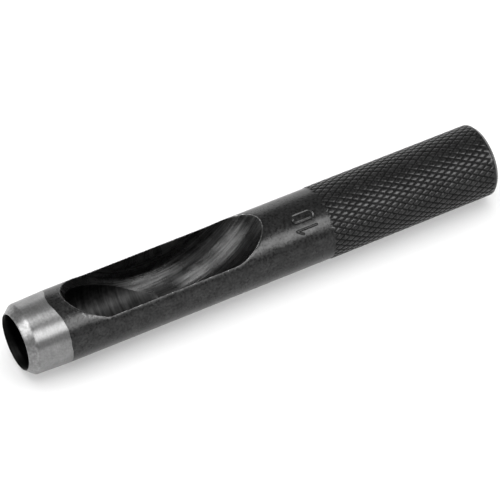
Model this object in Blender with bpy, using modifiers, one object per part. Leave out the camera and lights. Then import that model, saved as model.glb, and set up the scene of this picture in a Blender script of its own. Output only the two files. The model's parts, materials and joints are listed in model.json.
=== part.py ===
"""Drive hole punch (hollow punch) for a 10 mm hole: one hardened steel bar, in metres, +Z up.

The bar lies along X on the plane z = 0, with its cutting edge at -X and its struck face at +X.
It is turned, drilled from the cutting end, knurled at the other end, and slotted from above by a
wheel cutter with a rounded rim, so that the punched discs can leave through the side window.
Axial stations are distances from the cutting edge.
"""

from math import asin, cos, pi, radians, sin, tan

import bpy

# Bar
LENGTH = 0.0900
SHANK_R = 0.0064
GRIP_R = 0.0065
GRIP_START = 0.0572
GRIP_STEP = 0.0001
STRUCK_CHAMFER = 0.0007

# Cutting end
EDGE_R = 0.0050
BEVEL_LENGTH = 0.00145
BEVEL_R = 0.0062
GROUND_LENGTH = 0.0075

# Bore, drilled from the cutting end and stopped inside the window
BORE_R = 0.00493
BORE_DEPTH = 0.0275
DRILL_HALF_ANGLE = radians(59)

# Wheel cutter that opens the window: a flat-sided disc with a rounded rim, its axle along Y
WHEEL_R = 0.0211
WHEEL_HALF_WIDTH = 0.00537
WHEEL_RIM_R = 0.0062
WHEEL_STATION = 0.0274
WHEEL_ABOVE_AXIS = 0.01635

OVERSHOOT = 0.002
BAR_SIDES = 64
BORE_SIDES = 64
WHEEL_SIDES = 96
RIM_STEPS = 20
MERGE = 0.000001
SHARP_ANGLE = radians(20)

AXIS_HEIGHT = GRIP_R
TIP_X = -LENGTH / 2


def clear_scene():
    for item in list(bpy.data.objects):
        bpy.data.objects.remove(item, do_unlink=True)


def new_collection(name):
    group = bpy.data.collections.new(name)
    bpy.context.scene.collection.children.link(group)
    return group


def steel(name, colour, roughness):
    material = bpy.data.materials.new(name)
    material.use_nodes = True
    shader = material.node_tree.nodes["Principled BSDF"]
    shader.inputs["Base Color"].default_value = (*colour, 1)
    shader.inputs["Metallic"].default_value = 1
    shader.inputs["Roughness"].default_value = roughness
    return material


def turned(name, profile, sides, group):
    """A closed solid of revolution about local Z. The profile is (radius, height) pairs from the
    top of the axis, down the outer side, to the bottom of the axis."""
    outline = bpy.data.meshes.new(name)
    points = [(radius, 0, height) for radius, height in profile]
    outline.from_pydata(points, [(i, i + 1) for i in range(len(points) - 1)], [])
    item = bpy.data.objects.new(name, outline)
    group.objects.link(item)
    screw = item.modifiers.new("Turn", "SCREW")
    screw.axis = "Z"
    screw.angle = 2 * pi
    screw.steps = sides
    screw.render_steps = sides
    screw.use_merge_vertices = True
    screw.merge_threshold = MERGE
    evaluated = item.evaluated_get(bpy.context.evaluated_depsgraph_get())
    solid = bpy.data.meshes.new_from_object(evaluated)
    solid.shade_smooth()
    solid.set_sharp_from_angle(angle=SHARP_ANGLE)
    item.modifiers.remove(screw)
    item.data = solid
    bpy.data.meshes.remove(outline)
    return item


def lay_along_x(item, station, sides):
    """Turns local +Z to +X, with a flat of the many-sided solid facing straight down."""
    item.rotation_mode = "ZYX"
    item.rotation_euler = (0, pi / 2, pi / sides)
    item.location = (TIP_X + station, 0, AXIS_HEIGHT)


def bar_profile():
    struck_r = GRIP_R - STRUCK_CHAMFER
    return [
        (0, LENGTH),
        (struck_r, LENGTH),
        (GRIP_R, LENGTH - STRUCK_CHAMFER),
        (GRIP_R, GRIP_START + GRIP_STEP),
        (SHANK_R, GRIP_START),
        (SHANK_R, GROUND_LENGTH),
        (BEVEL_R, BEVEL_LENGTH),
        (EDGE_R, 0),
        (0, 0),
    ]


def bore_profile():
    return [
        (0, BORE_DEPTH + BORE_R / tan(DRILL_HALF_ANGLE)),
        (BORE_R, BORE_DEPTH),
        (BORE_R, -OVERSHOOT),
        (0, -OVERSHOOT),
    ]


def wheel_profile():
    """Half a slice through the disc: its rim is an arc that stops at the two flat sides."""
    rim_centre = WHEEL_R - WHEEL_RIM_R
    widest = asin(WHEEL_HALF_WIDTH / WHEEL_RIM_R)
    angles = [widest * (1 - 2 * i / RIM_STEPS) for i in range(RIM_STEPS + 1)]
    rim = [(rim_centre + WHEEL_RIM_R * cos(a), WHEEL_RIM_R * sin(a)) for a in angles]
    return [(0, WHEEL_HALF_WIDTH), *rim, (0, -WHEEL_HALF_WIDTH)]


def cut(body, cutter):
    boolean = body.modifiers.new(cutter.name, "BOOLEAN")
    boolean.operation = "DIFFERENCE"
    boolean.solver = "EXACT"
    boolean.object = cutter
    cutter.hide_render = True
    cutter.display_type = "WIRE"


def make_punch(parts, cutters):
    body = turned("punch_body", bar_profile(), BAR_SIDES, parts)
    lay_along_x(body, 0, BAR_SIDES)
    body.data.materials.append(steel("black_oxide_steel", (0.035, 0.035, 0.037), 0.42))

    bore = turned("bore_cutter", bore_profile(), BORE_SIDES, cutters)
    lay_along_x(bore, 0, BORE_SIDES)
    cut(body, bore)

    wheel = turned("window_cutter", wheel_profile(), WHEEL_SIDES, cutters)
    wheel.rotation_euler = (pi / 2, 0, 0)
    wheel.location = (TIP_X + WHEEL_STATION, 0, AXIS_HEIGHT + WHEEL_ABOVE_AXIS)
    cut(body, wheel)


def main():
    clear_scene()
    parts = new_collection("drive_hole_punch")
    cutters = new_collection("cutters")
    make_punch(parts, cutters)


main()
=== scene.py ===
"""Looks of the drive hole punch: one closed steel skin with a real knurl, window, bore and size mark.

The skin is worked out in millimetres. A station is a distance from the cutting edge along the bar,
and a turn is an angle round the bar from the middle of the window, growing towards +Y.
"""

import json
from math import cos, pi, radians, sin, tan

import bmesh
import bpy
import numpy as np
from mathutils import Matrix, Vector
from mathutils.geometry import delaunay_2d_cdt


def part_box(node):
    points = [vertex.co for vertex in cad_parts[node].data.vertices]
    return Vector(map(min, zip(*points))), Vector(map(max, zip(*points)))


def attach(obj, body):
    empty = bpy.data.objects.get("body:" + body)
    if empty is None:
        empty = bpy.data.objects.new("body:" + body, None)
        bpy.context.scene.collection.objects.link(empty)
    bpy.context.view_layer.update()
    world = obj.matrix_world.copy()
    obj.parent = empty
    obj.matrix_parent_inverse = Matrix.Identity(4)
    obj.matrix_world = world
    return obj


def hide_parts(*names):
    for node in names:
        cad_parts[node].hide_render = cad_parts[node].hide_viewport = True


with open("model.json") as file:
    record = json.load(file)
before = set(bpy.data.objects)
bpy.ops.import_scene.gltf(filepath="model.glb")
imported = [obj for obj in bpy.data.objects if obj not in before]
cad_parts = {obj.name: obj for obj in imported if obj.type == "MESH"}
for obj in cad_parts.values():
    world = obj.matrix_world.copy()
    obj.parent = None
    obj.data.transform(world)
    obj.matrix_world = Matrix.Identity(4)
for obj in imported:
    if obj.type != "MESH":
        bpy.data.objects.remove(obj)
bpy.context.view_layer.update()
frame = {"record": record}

MM = 0.001
NODE = "punch_body"

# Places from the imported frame
LOW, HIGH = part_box(NODE)
STRUCK_FACE = next(m for m in frame["record"]["mounts"] if m["name"] == "struck_face")
AXIS_Z = STRUCK_FACE["pos_m"][2] / MM
TIP_X = LOW[0] / MM
LENGTH = (HIGH[0] - LOW[0]) / MM

# Bar
CREST_R = AXIS_Z
SHANK_R = 6.4
BEVEL = 1.45
BEVEL_R = 6.2
EDGE_R = 5.0
GROUND = 7.5
BORE_R = 4.93
RIDGE_EASE = 0.0885
RIDGE_REACH = 0.4
EDGE_CONE = 0.3

# Wheel cutter that opened the window
WHEEL_R = 21.1
WHEEL_HALF = 5.37
WHEEL_STATION = 27.4
WHEEL_UP = 16.35
RIM_ARC = 6.2
RIM_CIRCLE = WHEEL_R - RIM_ARC

# The rounding between its arc and its flat sides: in front, at the rear, and the radians round the
# axle over which it grows from one to the other
CORNER_FRONT = 1.2
CORNER_REAR = 3.2
CORNER_BLEND = 0.45

# The window's broken rim
RIM_BREAK = 0.07
RIM_BULGE = 0.4

# Knurl: two crossed families of V grooves, at an angle to the bar
STARTS = 34
STEPS = 10
COLUMNS = STARTS * STEPS
KNURL_START = 57.2
KNURL_ANGLE = radians(30.5)
PITCH_ROUND = 2 * pi * CREST_R / STARTS
PITCH_ALONG = PITCH_ROUND / tan(KNURL_ANGLE)
PITCH_ACROSS = PITCH_ROUND * cos(KNURL_ANGLE)
KNURL_ROWS = 156
KNURL_END = KNURL_START + KNURL_ROWS * PITCH_ALONG / STEPS
GROOVE_HALF = 0.17
GROOVE_DEPTH = 0.15
CROWN = 0.02
RUN_IN = 0.25

# Struck end
CHAMFER = 0.7
CHAMFER_EASE = 0.12
FACE_EASE = 0.06
CORNER_TURN = radians(45)

# Size mark, stamped across the bar with its top towards the cutting edge
MARK_TOP = 50.95
MARK_BASE = 54.75
MARK_DEPTH = 0.13
STROKE_HALF = 0.20
STROKE_WALL = 0.14
ONE_TURN = radians(-42)
FLAG_ALONG = 1.0
FLAG_ROUND = 0.8
ZERO_TURN = radians(-23.5)
ZERO_HALF = 0.72

# Bare ground band at the cutting end: it stops sooner in line with the window
BAND_END = 7.4
BAND_DIP = 1.3
BAND_DIP_TURN = radians(27)

# Its unevenness: waves round the bar, their phase and their height
BAND_WAVES = ((3, 1, 0.07), (7, 2, 0.049), (19, 0, 0.028))

# Surface finishes, as material slots
BLACKENED, BARE, MILLED, DRILLED, BROKEN = range(5)

# Mesh fineness
COARSE = 0.45
FINE = 0.11
SCOOP_STEP = 0.34
CORNER_STEP = 0.2
RIM_POINTS = 300
RIM_SAMPLES = 3000
HALVINGS = 50
BEVEL_ROWS = 5
RIDGE_ROWS = 11
BAND_ROWS = 8
BORE_ROWS = 16
LAST_BORE_ROW = 0.99
EASE_STEPS = 4
SAME_POINT = 0.000001
WELD = 0.002
CREASE_ANGLE = radians(20)

# Room kept between a patch's inner points and its borders
SEAM_ROOM = 0.3
OPENING_ROOM = 0.25
MARK_ROOM = 0.25
RIM_ROOM = 0.12
BORE_ROOM = 0.08


def smooth_step(value):
    value = np.clip(value, 0, 1)
    return value * value * (3 - 2 * value)


def place_on_wheel(x, h):
    """Distance from the cutter's axle, and angle round it from straight down."""
    return np.hypot(x - WHEEL_STATION, h - WHEEL_UP), np.arctan2(x - WHEEL_STATION, WHEEL_UP - h)


def wheel_corner(swing):
    """The rounding between the cutter's arc and its flat side, which is eased at the rear: its
    radius, its centre's distance from the axle, and the lean at which it leaves the arc."""
    radius = CORNER_FRONT + (CORNER_REAR - CORNER_FRONT) * smooth_step(swing / CORNER_BLEND)
    lean = np.arcsin((WHEEL_HALF - radius) / (RIM_ARC - radius))
    return radius, RIM_CIRCLE + (RIM_ARC - radius) * np.cos(lean), lean


def wheel_gap(x, y, h):
    """Distance outside the wheel cutter; negative inside it. h is the height above the bar's axis."""
    reach, swing = place_on_wheel(x, h)
    radius, centre, leave = wheel_corner(swing)
    above = np.abs(y) - WHEEL_HALF + radius
    lean = np.arctan2(above, reach - centre)
    from_arc = np.hypot(reach - RIM_CIRCLE, y) - RIM_ARC
    from_corner = np.hypot(reach - centre, above) - radius
    return np.where(reach < centre, above - radius, np.where(lean < leave, from_arc, from_corner))


def polar(station, turn, radius):
    """Points at a station, turn and radius, as rows of station, across and height over the axis."""
    station, turn, radius = np.broadcast_arrays(station, turn, radius)
    return np.stack([station, radius * np.sin(turn), radius * np.cos(turn)], axis=-1)


def even_loop(points, count):
    """A closed loop's points, spread evenly along it."""
    closed = np.vstack([points, points[:1]])
    steps = np.linalg.norm(np.diff(closed, axis=0), axis=1)
    along = np.concatenate([[0], np.cumsum(steps)])
    at = np.arange(count) * along[-1] / count
    return np.stack([np.interp(at, along, closed[:, k]) for k in range(closed.shape[1])], axis=1)


def rim_loop(radius, offset):
    """Where a cylinder of this radius meets the wheel cutter swollen by the offset."""
    reach = WHEEL_R + offset
    half_span = np.sqrt(reach**2 - (WHEEL_UP - radius) ** 2)
    phase = np.linspace(0, 2 * pi, RIM_SAMPLES, endpoint=False)
    station = WHEEL_STATION - half_span * np.cos(phase)
    low = np.zeros_like(phase)
    high = np.full_like(phase, pi / 2)
    for _ in range(HALVINGS):
        middle = (low + high) / 2
        x, y, h = polar(station, middle, radius).T
        inside = wheel_gap(x, y, h) < offset
        low = np.where(inside, middle, low)
        high = np.where(inside, high, middle)
    turn = low * np.sign(np.sin(phase))
    loop = even_loop(np.stack([station, turn * radius], axis=1), RIM_POINTS)
    return loop[:, 0], loop[:, 1] / radius


def unroll(points):
    """Scoop points as flat places: along the cutter's rim, and across it from its middle."""
    x, y, h = points.T
    reach, swing = place_on_wheel(x, h)
    radius, centre, leave = wheel_corner(swing)
    on_arc = np.arctan2(np.abs(y), np.maximum(reach - RIM_CIRCLE, 0))
    on_corner = np.arctan2(np.abs(y) - WHEEL_HALF + radius, np.maximum(reach - centre, 0))
    across = RIM_ARC * np.minimum(on_arc, leave) + radius * np.maximum(on_corner - leave, 0)
    across += np.maximum(centre - reach, 0)
    return np.stack([WHEEL_R * swing, across * np.sign(y)], axis=1)


def roll(flat):
    """The reverse of unroll."""
    along, across = flat.T
    swing = along / WHEEL_R
    radius, centre, leave = wheel_corner(swing)
    past_arc = np.abs(across) - RIM_ARC * leave
    corner = leave + np.clip(past_arc / radius, 0, pi / 2 - leave)
    past_corner = np.maximum(past_arc - radius * (pi / 2 - leave), 0)
    arc = np.abs(across) / RIM_ARC
    reach = np.where(past_arc < 0, RIM_CIRCLE + RIM_ARC * np.cos(arc), centre + radius * np.cos(corner))
    reach = reach - past_corner
    y = np.where(past_arc < 0, RIM_ARC * np.sin(arc), WHEEL_HALF - radius + radius * np.sin(corner))
    return np.stack(
        [WHEEL_STATION + reach * np.sin(swing), y * np.sign(across), WHEEL_UP - reach * np.cos(swing)],
        axis=1,
    )


def enclosed(points, loops):
    """Which flat points lie inside an odd number of the loops."""
    inside = np.zeros(len(points), bool)
    px, py = points.T
    for loop in loops:
        ends = np.roll(loop, -1, axis=0)
        for (ax, ay), (bx, by) in zip(loop, ends):
            if ay != by:
                crosses = (ay > py) != (by > py)
                inside ^= crosses & (px < (bx - ax) * (py - ay) / (by - ay) + ax)
    return inside


def lattice(low, high, step):
    """A staggered grid of flat points over a rectangle."""
    rows = np.arange(low[0] + step / 2, high[0], step)
    columns = np.arange(low[1] + step / 2, high[1], step)
    first, second = np.meshgrid(rows, columns, indexing="ij")
    second = second + (np.arange(len(rows)) % 2)[:, None] * step / 2
    return np.stack([first.ravel(), second.ravel()], axis=1)


class Skin:
    """Collects patches of the surface, and welds their shared edges."""

    def __init__(self):
        self.mesh = bmesh.new()

    def add(self, points, faces, slot):
        placed = (points + [TIP_X, 0, AXIS_Z]) * MM
        corners = [self.mesh.verts.new(p) for p in placed]
        for face in faces:
            made = self.mesh.faces.new([corners[i] for i in face])
            made.material_index = slot

    def strip(self, rings, slot=BLACKENED):
        """Quads between closed rings of the same number of points."""
        count = len(rings[0])
        faces = []
        for r in range(len(rings) - 1):
            for c in range(count):
                d = (c + 1) % count
                here, there = r * count, (r + 1) * count
                faces.append((here + c, here + d, there + d, there + c))
        self.add(np.vstack(rings), faces, slot)

    def fan(self, ring, centre):
        """Triangles from a closed ring to one point."""
        count = len(ring)
        faces = [(i, (i + 1) % count, count) for i in range(count)]
        self.add(np.vstack([ring, [centre]]), faces, BLACKENED)

    def patch(self, loops, inner, shape, slot=BLACKENED):
        """Triangles between flat loops, through the inner points, shaped by a function."""
        flat = [Vector(p) for loop in loops for p in loop] + [Vector(p) for p in inner]
        edges = []
        start = 0
        for loop in loops:
            count = len(loop)
            edges += [(start + i, start + (i + 1) % count) for i in range(count)]
            start += count
        corners, _, faces, *_ = delaunay_2d_cdt(flat, edges, [], 0, SAME_POINT)
        places = np.array([tuple(c) for c in corners])
        triangles = np.array(faces)
        kept = enclosed(places[triangles].mean(axis=1), loops)
        self.add(shape(places), triangles[kept], slot)

    def finish(self, name):
        bmesh.ops.remove_doubles(self.mesh, verts=self.mesh.verts, dist=WELD * MM)
        bmesh.ops.recalc_face_normals(self.mesh, faces=self.mesh.faces)
        for face in self.mesh.faces:
            face.smooth = True
        for edge in self.mesh.edges:
            in_window = all(f.material_index in (MILLED, DRILLED) for f in edge.link_faces)
            edge.smooth = not in_window or edge.calc_face_angle() < CREASE_ANGLE
        mesh = bpy.data.meshes.new(name)
        self.mesh.to_mesh(mesh)
        self.mesh.free()
        item = bpy.data.objects.new(name, mesh)
        bpy.context.scene.collection.objects.link(item)
        return item


# Turns of the points of a full ring, one on each of the knurl's columns
RING = np.arange(COLUMNS) * 2 * pi / COLUMNS - pi


def turned_radius(station):
    """The plain bar's radius: a true cone at the edge, the bevel, an eased ridge, the ground band
    and the shank."""
    bevel = EDGE_R + (BEVEL_R - EDGE_R) * station / BEVEL
    band = BEVEL_R + (SHANK_R - BEVEL_R) * (station - BEVEL) / (GROUND - BEVEL)
    gap = band - bevel
    eased = band - (gap + np.hypot(gap, RIDGE_EASE)) / 2
    return np.minimum(np.where(station < EDGE_CONE, bevel, eased), SHANK_R)


def band_end(turn):
    """The station where the bare band meets the blacking, a little uneven as it was ground."""
    dip = BAND_DIP * np.exp(-((turn / BAND_DIP_TURN) ** 2))
    waver = sum(height * np.sin(waves * turn + phase) for waves, phase, height in BAND_WAVES)
    return BAND_END - dip + waver


def segment_gap(station, arc, start, end):
    """Distance from flat points to a straight stroke's centre line."""
    run = np.subtract(end, start)
    x = station - start[0]
    y = arc - start[1]
    along = np.clip((x * run[0] + y * run[1]) / (run @ run), 0, 1)
    return np.hypot(x - along * run[0], y - along * run[1])


def mark_depth(station, arc):
    """How deep the stamped size lies: a 1 and a 0 of plain strokes with sloping walls."""
    one = ONE_TURN * SHANK_R
    zero = ZERO_TURN * SHANK_R
    stem = segment_gap(station, arc, (MARK_TOP, one), (MARK_BASE, one))
    flag = segment_gap(station, arc, (MARK_TOP, one), (MARK_TOP + FLAG_ALONG, one - FLAG_ROUND))
    core = segment_gap(station, arc, (MARK_TOP + ZERO_HALF, zero), (MARK_BASE - ZERO_HALF, zero))
    gap = np.minimum(np.minimum(stem, flag), np.abs(core - ZERO_HALF))
    return MARK_DEPTH * smooth_step((STROKE_HALF - gap) / STROKE_WALL)


def shape_shank(flat):
    station, arc = flat.T
    radius = turned_radius(station) - mark_depth(station, arc)
    return polar(station, arc / SHANK_R, radius)


def add_shank(skin, rim):
    """The blackened bar from the bare band to the knurl, with the window's opening in it."""
    half_round = pi * SHANK_R
    ring = np.append(RING, pi) * SHANK_R
    front = np.stack([band_end(ring / SHANK_R), ring], axis=1)
    back = np.stack([np.full_like(ring, KNURL_START), ring], axis=1)[::-1]
    start = band_end(pi)
    seam = np.arange(start + COARSE, KNURL_START - COARSE / 2, COARSE)
    right = np.stack([seam, np.full_like(seam, half_round)], axis=1)
    left = np.stack([seam, np.full_like(seam, -half_round)], axis=1)[::-1]
    border = np.vstack([front, right, back, left])
    opening = np.stack([rim[0], rim[1] * SHANK_R], axis=1)

    side = half_round - SEAM_ROOM
    inner = lattice((BAND_END - BAND_DIP, -side), (KNURL_START, side), COARSE)
    inner = inner[inner[:, 0] > band_end(inner[:, 1] / SHANK_R) + COARSE / 2]
    x, y, h = polar(inner[:, 0], inner[:, 1] / SHANK_R, SHANK_R).T
    inner = inner[wheel_gap(x, y, h) > RIM_BREAK + OPENING_ROOM]
    edge = STROKE_HALF + MARK_ROOM
    low = np.array([MARK_TOP - edge, ONE_TURN * SHANK_R - FLAG_ROUND - edge])
    high = np.array([MARK_BASE + edge, ZERO_TURN * SHANK_R + ZERO_HALF + edge])
    in_mark = np.all((inner > low - FINE) & (inner < high + FINE), axis=1)
    inner = np.vstack([inner[~in_mark], lattice(low, high, FINE)])
    skin.patch([border, opening], inner, shape_shank)


def add_window(skin, rim):
    """The milled scoop, its broken rim, and the bore that runs into it from the cutting edge."""
    outer = polar(rim[0], rim[1], SHANK_R)
    corner = polar(*rim_loop(SHANK_R, 0), SHANK_R)
    wall = polar(*rim_loop(SHANK_R - RIM_BREAK, 0), SHANK_R - RIM_BREAK)
    middle = corner * RIM_BULGE + (outer + wall) * (1 - RIM_BULGE) / 2
    skin.strip([outer, middle, wall], BROKEN)

    deepest = WHEEL_UP - RIM_CIRCLE
    bottom = deepest * np.cos(RING) + np.sqrt(RIM_ARC**2 - (deepest * np.sin(RING)) ** 2)
    y, h = polar(0, RING, BORE_R)[:, 1:].T
    reach = RIM_CIRCLE + np.sqrt(RIM_ARC**2 - y**2)
    crease_station = WHEEL_STATION - np.sqrt(np.maximum(reach**2 - (WHEEL_UP - h) ** 2, 0))
    crease = polar(crease_station, RING, np.minimum(bottom, BORE_R))
    rows = np.linspace(0, LAST_BORE_ROW, BORE_ROWS)[:, None]
    bore = [polar(row * crease_station, RING, BORE_R) for row in rows]
    skin.strip([*bore, crease], DRILLED)

    loops = [unroll(wall), unroll(crease)]
    low = loops[0].min(axis=0)
    high = loops[0].max(axis=0)
    inner = lattice(low, high, SCOOP_STEP)
    along = np.arange(low[0], high[0], CORNER_STEP)
    for part in (0, 0.5, 1):
        radius, _, leave = wheel_corner(along / WHEEL_R)
        line = RIM_ARC * leave + radius * (pi / 2 - leave) * part
        for side in (line, -line):
            inner = np.vstack([inner, np.stack([along, side], axis=1)])
    x, y, h = roll(inner).T
    radius = np.hypot(y, h)
    beyond = x > WHEEL_STATION + SCOOP_STEP / 2
    below_rim = radius < SHANK_R - RIM_BREAK - RIM_ROOM
    off_bore = (radius > BORE_R + BORE_ROOM) | beyond
    skin.patch(loops, inner[below_rim & off_bore & enclosed(inner, loops)], roll, MILLED)


def add_tip(skin):
    """The cutting edge's narrow land, the bevel and the bare band."""
    bevel = np.linspace(0, BEVEL - RIDGE_REACH, BEVEL_ROWS, endpoint=False)
    ridge = np.linspace(BEVEL - RIDGE_REACH, BEVEL + RIDGE_REACH, RIDGE_ROWS)
    rings = [polar(0, RING, BORE_R)]
    rings += [polar(s, RING, turned_radius(s)) for s in np.concatenate([bevel, ridge])]
    for row in range(1, BAND_ROWS + 1):
        station = ridge[-1] + (band_end(RING) - ridge[-1]) * row / BAND_ROWS
        rings.append(polar(station, RING, turned_radius(station)))
    skin.strip(rings, BARE)


def groove_gap(cycles):
    """Distance from a groove's centre line, across the groove."""
    return np.abs(cycles - np.round(cycles)) * PITCH_ACROSS


def eased_corner(station, radius, lean, length):
    """A rounding that starts this far before a 45 degree corner of a turned outline. The outline
    comes in at this lean below the bar's direction."""
    arc_r = length / tan(CORNER_TURN / 2)
    start = (station - length * cos(lean), radius + length * sin(lean))
    points = []
    for step in range(EASE_STEPS + 1):
        now = lean + CORNER_TURN * step / EASE_STEPS
        points.append((
            start[0] + arc_r * (sin(now) - sin(lean)),
            start[1] - arc_r * (cos(lean) - cos(now)),
        ))
    return points


def add_grip(skin):
    """The knurled grip, its plain end and the struck face."""
    columns = np.arange(COLUMNS) / STEPS
    rings = []
    for row in range(KNURL_ROWS + 1):
        along = row / STEPS
        station = KNURL_START + along * PITCH_ALONG
        left = groove_gap(columns + along)
        right = groove_gap(columns - along)
        groove = GROOVE_DEPTH * np.clip(1 - np.minimum(left, right) / GROOVE_HALF, 0, 1)
        crown = CROWN * (1 - np.maximum(left, right) / (PITCH_ACROSS / 2))
        run_in = smooth_step((station - KNURL_START) / RUN_IN)
        run_out = smooth_step((KNURL_END - station) / RUN_IN)
        worked = run_in * run_out
        plain = SHANK_R if station < (KNURL_START + KNURL_END) / 2 else CREST_R - CROWN
        radius = plain + (CREST_R - plain - groove - crown) * worked
        rings.append(polar(station, RING, radius))
    skin.strip(rings)

    rim = CREST_R - CROWN
    face_r = rim - CHAMFER
    profile = [
        (KNURL_END, rim),
        *eased_corner(LENGTH - CHAMFER, rim, 0, CHAMFER_EASE),
        *eased_corner(LENGTH, face_r, CORNER_TURN, FACE_EASE),
        (LENGTH, face_r / 2),
        (LENGTH, face_r / 6),
    ]
    rings = [polar(station, RING, radius) for station, radius in profile]
    skin.strip(rings)
    skin.fan(rings[-1], (LENGTH, 0, 0))


def make_punch():
    skin = Skin()
    rim = rim_loop(SHANK_R, RIM_BREAK)
    add_tip(skin)
    add_shank(skin, rim)
    add_window(skin, rim)
    add_grip(skin)
    punch = skin.finish("punch_steel")
    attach(punch, "root")
    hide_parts(NODE)
    return punch


# Most of a noise's values lie in this range
NOISE_LOW = 0.3
NOISE_HIGH = 0.7

# Each finish's range of reflectance and of roughness
BLACKENED_SHADE = (0.030, 0.046)
BLACKENED_ROUGH = (0.25, 0.35)
BARE_SHADE = (0.21, 0.25)
BARE_ROUGH = (0.34, 0.42)
MILLED_SHADE = (0.018, 0.054)
MILLED_ROUGH = (0.24, 0.32)
DRILLED_SHADE = (0.016, 0.040)
DRILLED_ROUGH = (0.38, 0.50)
RUBBED_SHADE = (0.12, 0.42)
RUBBED_ROUGH = (0.45, 0.30)
UNRUBBED_SHADE = 0.04

# Scuffs in front of the window: their width beside its rim, the stations where they are full and
# where they end, how much they cover and how bright they are
SCUFF_WIDTH = 1.5
SCUFF_FULL = 11
SCUFF_END = 17
SCUFF_STRENGTH = 0.6
SCUFF_SHADE = 0.15

# The knurl's grooves get painted shade, which darkens from one part of their half width to another, and
# they are rougher
GROOVE_PAINTED_SHADE_START = 0.95
GROOVE_PAINTED_SHADE_FULL = 0.55
GROOVE_PAINTED_SHADE = 0.45
GROOVE_ROUGH = 0.6

# How much lighter the faces left by the wheel cutter's flat sides are painted: painted light standing
# in for light scattered onto the window's dark walls
SIDE_PAINTED_LIGHT = 4

# The bare end's shine is stretched along the bar, a quarter turn from the grinding
SHINE_STRETCH = 0.8
QUARTER_TURN = 0.25


class Finish:
    """A steel's nodes, with places in millimetres and short names for the sums."""

    def __init__(self, name):
        self.material = bpy.data.materials.new(name)
        self.material.use_nodes = True
        self.nodes = self.material.node_tree.nodes
        self.links = self.material.node_tree.links
        self.shader = self.nodes["Principled BSDF"]
        self.shader.inputs["Metallic"].default_value = 1
        place = self.nodes.new("ShaderNodeTexCoord").outputs["Object"]
        split = self.nodes.new("ShaderNodeSeparateXYZ")
        self.links.new(place, split.inputs[0])
        x, y, z = (self.times(axis, 1 / MM) for axis in split.outputs)
        self.station = self.sum("SUBTRACT", x, TIP_X)
        self.y = y
        self.height = self.sum("SUBTRACT", z, AXIS_Z)
        self.turn = self.sum("ARCTAN2", self.y, self.height)
        reach = self.far(
            self.sum("SUBTRACT", self.station, WHEEL_STATION),
            self.sum("SUBTRACT", self.height, WHEEL_UP),
        )
        self.outward = self.sum("MAXIMUM", self.sum("SUBTRACT", reach, RIM_CIRCLE), 0)
        # Distance outside the wheel cutter, with its corners left square
        from_side = self.sum("SUBTRACT", self.sum("ABSOLUTE", self.y), WHEEL_HALF)
        from_arc = self.sum("SUBTRACT", self.far(self.outward, self.y), RIM_ARC)
        self.gap = self.sum("MAXIMUM", from_side, from_arc)

    def feed(self, socket, value):
        if isinstance(value, bpy.types.NodeSocket):
            self.links.new(value, socket)
        else:
            socket.default_value = value

    def sum(self, operation, *values):
        node = self.nodes.new("ShaderNodeMath")
        node.operation = operation
        for socket, value in zip(node.inputs, values):
            self.feed(socket, value)
        return node.outputs[0]

    def times(self, *values):
        return self.sum("MULTIPLY", *values)

    def far(self, a, b):
        squares = self.sum("ADD", self.sum("POWER", a, 2), self.sum("POWER", b, 2))
        return self.sum("SQRT", squares)

    def noise(self, place, cycles, detail=2, seed=0):
        """Noise from 0 to 1 with a number of cycles a millimetre in each direction."""
        node = self.nodes.new("ShaderNodeTexNoise")
        node.noise_dimensions = "4D"
        node.inputs["Scale"].default_value = 1
        node.inputs["Detail"].default_value = detail
        node.inputs["W"].default_value = seed
        join = self.nodes.new("ShaderNodeCombineXYZ")
        for socket, value, cycle in zip(join.inputs, place, cycles):
            self.feed(socket, self.times(value, cycle))
        self.links.new(join.outputs[0], node.inputs["Vector"])
        return node.outputs[0]

    def on_bar(self, along, round_it, detail=2, seed=0):
        """Noise over the turned surface, with these cycles a millimetre along the bar and round it."""
        place = (self.station, self.y, self.height)
        return self.noise(place, (along, round_it, round_it), detail, seed)

    def spread(self, value, low, high, low_to=0, high_to=1):
        """Stretches a value's range to another one, and holds it at the ends."""
        node = self.nodes.new("ShaderNodeMapRange")
        for name, number in (
            ("Value", value),
            ("From Min", low),
            ("From Max", high),
            ("To Min", low_to),
            ("To Max", high_to),
        ):
            self.feed(node.inputs[name], number)
        return node.outputs[0]

    def vary(self, noise, low, high):
        """Noise as a value that mostly lies between these two."""
        return self.spread(noise, NOISE_LOW, NOISE_HIGH, low, high)

    def blend(self, factor, low, high):
        """Mixes two values by a factor from 0 to 1."""
        node = self.nodes.new("ShaderNodeMix")
        node.data_type = "FLOAT"
        self.feed(node.inputs[0], factor)
        self.feed(node.inputs[2], low)
        self.feed(node.inputs[3], high)
        return node.outputs[0]

    def settle(self, shade, roughness, relief, relief_height):
        """Links the grey shade, the roughness and the relief, this many millimetres high."""
        colour = self.nodes.new("ShaderNodeCombineColor")
        for socket in colour.inputs:
            self.links.new(shade, socket)
        self.links.new(colour.outputs[0], self.shader.inputs["Base Color"])
        self.links.new(roughness, self.shader.inputs["Roughness"])
        bump = self.nodes.new("ShaderNodeBump")
        bump.inputs["Strength"].default_value = 1
        bump.inputs["Distance"].default_value = relief_height * MM
        self.links.new(relief, bump.inputs["Height"])
        self.links.new(bump.outputs[0], self.shader.inputs["Normal"])
        return self.material


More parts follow.
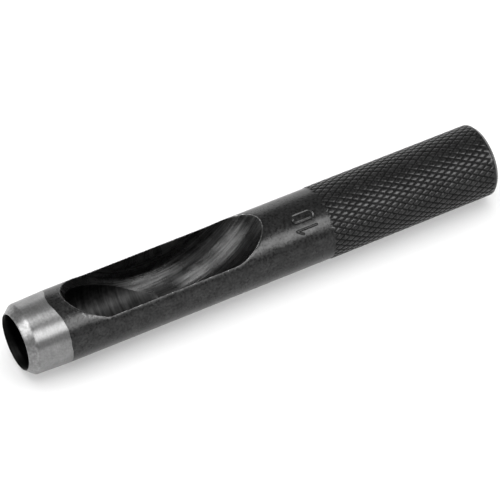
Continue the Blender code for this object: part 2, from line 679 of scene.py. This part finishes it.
def knurl_grooves(steel):
    """Where the knurl's painted shade and extra roughness go: 1 in the bottom of the grooves, falling
    to 0 just inside their lips.
    """
    round_it = steel.times(steel.turn, STARTS / (2 * pi))
    along = steel.sum("DIVIDE", steel.sum("SUBTRACT", steel.station, KNURL_START), PITCH_ALONG)
    nearest = steel.sum(
        "MINIMUM",
        steel.sum("PINGPONG", steel.sum("ADD", round_it, along), 0.5),
        steel.sum("PINGPONG", steel.sum("SUBTRACT", round_it, along), 0.5),
    )
    lip = GROOVE_HALF / PITCH_ACROSS
    in_groove = steel.spread(nearest, lip * GROOVE_PAINTED_SHADE_START, lip * GROOVE_PAINTED_SHADE_FULL)
    run_in = steel.spread(steel.station, KNURL_START, KNURL_START + RUN_IN)
    run_out = steel.spread(steel.station, KNURL_END, KNURL_END - RUN_IN)
    return steel.times(in_groove, steel.times(run_in, run_out))


def blackened_steel():
    """Black oxide on turned steel, with painted shade in the knurl's grooves, and scuffed in front of
    the window.
    """
    steel = Finish("blackened_steel")
    cloud = steel.on_bar(0.5, 0.6, detail=4)
    grain = steel.on_bar(2.4, 2.4, detail=3, seed=3)
    turning = steel.on_bar(5.0, 0.25, detail=3, seed=7)

    scuffs = steel.spread(steel.on_bar(2.2, 2.2, detail=3, seed=17), 0.48, 0.68)
    near_rim = steel.spread(steel.gap, RIM_BREAK, SCUFF_WIDTH, 1, 0)
    near_tip = steel.spread(steel.station, SCUFF_END, SCUFF_FULL)
    worn = steel.times(scuffs, steel.times(near_rim, near_tip))
    groove = knurl_grooves(steel)

    shade = steel.times(steel.vary(cloud, *BLACKENED_SHADE), steel.vary(grain, 0.6, 1.4))
    shade = steel.blend(steel.times(worn, SCUFF_STRENGTH), shade, SCUFF_SHADE)
    # Painted shade in the bottoms of the knurl's grooves
    shade = steel.times(shade, steel.blend(groove, 1, GROOVE_PAINTED_SHADE))

    rough = steel.blend(groove, steel.vary(grain, *BLACKENED_ROUGH), GROOVE_ROUGH)
    fine = steel.sum("ADD", steel.times(turning, 0.3), steel.times(grain, 0.5))
    relief = steel.sum("ADD", fine, steel.times(cloud, 1.5))
    return steel.settle(shade, rough, relief, relief_height=0.012)


def bare_steel():
    """The cutting end, ground bare round the bar, so that its shine spreads along the bar."""
    steel = Finish("bare_ground_steel")
    cloud = steel.on_bar(0.5, 0.6, detail=4)
    grain = steel.on_bar(2.6, 2.6, detail=3, seed=3)
    turning = steel.on_bar(6.0, 0.3, detail=3, seed=7)
    blotches = steel.on_bar(2.0, 2.0, detail=3, seed=11)

    shade = steel.times(steel.vary(turning, *BARE_SHADE), steel.vary(cloud, 0.85, 1.12))
    shade = steel.times(shade, steel.vary(grain, 0.85, 1.15))
    on_bevel = steel.spread(steel.station, BEVEL + 0.3, BEVEL)
    mottle = steel.spread(blotches, 0.35, 0.65, 0.8, 1.2)
    shade = steel.times(shade, steel.blend(on_bevel, 1, mottle))

    tangent = steel.nodes.new("ShaderNodeTangent")
    tangent.direction_type = "RADIAL"
    tangent.axis = "X"
    steel.links.new(tangent.outputs[0], steel.shader.inputs["Tangent"])
    steel.shader.inputs["Anisotropic"].default_value = SHINE_STRETCH
    steel.shader.inputs["Anisotropic Rotation"].default_value = QUARTER_TURN
    rough = steel.vary(grain, *BARE_ROUGH)
    relief = steel.sum("ADD", turning, grain)
    return steel.settle(shade, rough, relief, relief_height=0.004)


def milled_steel():
    """Blackened steel with the streaks that the wheel cutter left along its sweep, and painted light on
    the faces left by the cutter's flat sides.
    """
    steel = Finish("milled_steel")
    swing = steel.sum(
        "ARCTAN2",
        steel.sum("SUBTRACT", steel.station, WHEEL_STATION),
        steel.sum("SUBTRACT", WHEEL_UP, steel.height),
    )
    lean = steel.sum("ARCTAN2", steel.y, steel.outward)
    sweep = (steel.times(swing, WHEEL_R), steel.times(lean, RIM_ARC), 0)
    streaks = steel.noise(sweep, (0.12, 3.0, 0), detail=4)
    scores = steel.noise(sweep, (0.25, 9.0, 0), seed=5)
    patches = steel.noise(sweep, (0.5, 0.8, 0), detail=3, seed=9)

    shade = steel.spread(streaks, 0.36, 0.64, *MILLED_SHADE)
    shade = steel.times(shade, steel.vary(patches, 0.75, 1.25))
    from_side = steel.sum("SUBTRACT", WHEEL_HALF, steel.sum("ABSOLUTE", steel.y))
    # Painted light: the faces left by the cutter's flat sides are made lighter, for light scattered
    # onto the window's dark walls
    shade = steel.times(shade, steel.spread(from_side, 0.03, 0.3, SIDE_PAINTED_LIGHT, 1))
    rough = steel.vary(patches, *MILLED_ROUGH)
    relief = steel.sum("ADD", streaks, steel.times(scores, 0.4))
    return steel.settle(shade, rough, relief, relief_height=0.05)


def drilled_steel():
    """The bore with the drill's rings, painted darker towards the cutting edge as painted shade in the
    hole's mouth.
    """
    steel = Finish("drilled_steel")
    rings = steel.on_bar(1.6, 0.15, detail=3)
    scale = steel.on_bar(1.5, 1.5, detail=3, seed=5)
    shade = steel.spread(rings, 0.36, 0.64, *DRILLED_SHADE)
    # Painted shade: the bore darkens towards the cutting edge
    shade = steel.times(shade, steel.spread(steel.station, 4, 14, 0.15, 1))
    shade = steel.times(shade, steel.vary(scale, 0.8, 1.2))
    rough = steel.vary(scale, *DRILLED_ROUGH)
    return steel.settle(shade, rough, rings, relief_height=0.04)


def broken_edge_steel():
    """The window's rim, where the blacking has rubbed through to bare metal in places."""
    steel = Finish("rubbed_edge_steel")
    rubbed = steel.spread(steel.on_bar(0.7, 0.7, detail=3), 0.35, 0.6)
    beads = steel.spread(steel.on_bar(2.5, 2.5, seed=5), 0.45, 0.65)
    shade = steel.blend(rubbed, UNRUBBED_SHADE, steel.blend(beads, *RUBBED_SHADE))
    rough = steel.blend(beads, *RUBBED_ROUGH)
    return steel.settle(shade, rough, beads, relief_height=0.02)


# Camera: direction, distance and aim, in millimetres
CAMERA_TURN = -29.1
CAMERA_RISE = 45.26
CAMERA_DISTANCE = 593.3
CAMERA_LENS = 252.76
CAMERA_SENSOR = 36
AIM_STATION = 43.0
AIM_RIGHT = 1.071
AIM_UP = 0.376

# Floor and lights, in metres, with the softboxes' azimuth, elevation, width, height and radiance
FLOOR_SIZE = 4
FLOOR_WHITE = 0.9
FLOOR_ROUGHNESS = 0.8
LAMP_DISTANCE = 0.7
SOFTBOXES = {
    "right_box": (22, 41, 0.42, 0.34, 6.5),
    "left_box": (-90, 35, 0.50, 0.36, 5.5),
    "back_box": (150, 13, 0.80, 0.34, 1.3),
    "top_box": (-90, 70, 0.28, 0.28, 9.5),
}
FLOOR_FILL = (0, 89, 0.80, 0.80, 2.9)
STUDIO_WHITE = 0.5


def direction(azimuth, elevation):
    """From the punch, in degrees: azimuth 0 is the front (-Y) and grows towards +X."""
    turn = radians(azimuth)
    rise = radians(elevation)
    return Vector((sin(turn) * cos(rise), -cos(turn) * cos(rise), sin(rise)))


def add_camera():
    back = direction(CAMERA_TURN, CAMERA_RISE)
    right = Vector((0, 0, 1)).cross(back).normalized()
    up = back.cross(right)
    aim = Vector((TIP_X + AIM_STATION, 0, AXIS_Z)) + right * AIM_RIGHT + up * AIM_UP
    data = bpy.data.cameras.new("camera")
    data.lens = CAMERA_LENS
    data.sensor_width = CAMERA_SENSOR
    camera = bpy.data.objects.new("camera", data)
    turn = Matrix((right, up, back)).transposed().to_4x4()
    camera.matrix_world = Matrix.Translation((aim + back * CAMERA_DISTANCE) * MM) @ turn
    bpy.context.scene.collection.objects.link(camera)
    bpy.context.scene.camera = camera


def add_floor():
    bpy.ops.mesh.primitive_plane_add(size=FLOOR_SIZE)
    floor = bpy.context.object
    floor.name = "floor"
    paper = bpy.data.materials.new("white_paper")
    paper.use_nodes = True
    shader = paper.node_tree.nodes["Principled BSDF"]
    shader.inputs["Base Color"].default_value = (FLOOR_WHITE, FLOOR_WHITE, FLOOR_WHITE, 1)
    shader.inputs["Roughness"].default_value = FLOOR_ROUGHNESS
    floor.data.materials.append(paper)


def add_softbox(name, azimuth, elevation, width, height, radiance, fill=False):
    """An area light aimed at the punch. The fill light only brightens the floor, without a shadow,
    and the others are only seen in the steel."""
    back = direction(azimuth, elevation)
    data = bpy.data.lights.new(name, "AREA")
    data.shape = "RECTANGLE"
    data.size = width
    data.size_y = height
    data.energy = radiance * pi * width * height
    data.use_shadow = not fill
    lamp = bpy.data.objects.new(name, data)
    lamp.location = back * LAMP_DISTANCE
    lamp.rotation_mode = "QUATERNION"
    lamp.rotation_quaternion = back.to_track_quat("Z", "Y")
    lamp.visible_glossy = not fill
    lamp.visible_diffuse = fill
    bpy.context.scene.collection.objects.link(lamp)


def add_lights():
    for name, settings in SOFTBOXES.items():
        add_softbox(name, *settings)
    add_softbox("floor_fill", *FLOOR_FILL, fill=True)
    world = bpy.data.worlds.new("studio")
    world.use_nodes = True
    background = world.node_tree.nodes["Background"]
    background.inputs["Color"].default_value = (1, 1, 1, 1)
    background.inputs["Strength"].default_value = STUDIO_WHITE
    bpy.context.scene.world = world
    bpy.context.scene.view_settings.view_transform = "Standard"


punch = make_punch()
for make_finish in (blackened_steel, bare_steel, milled_steel, drilled_steel, broken_edge_steel):
    punch.data.materials.append(make_finish())
add_camera()
add_floor()
add_lights()
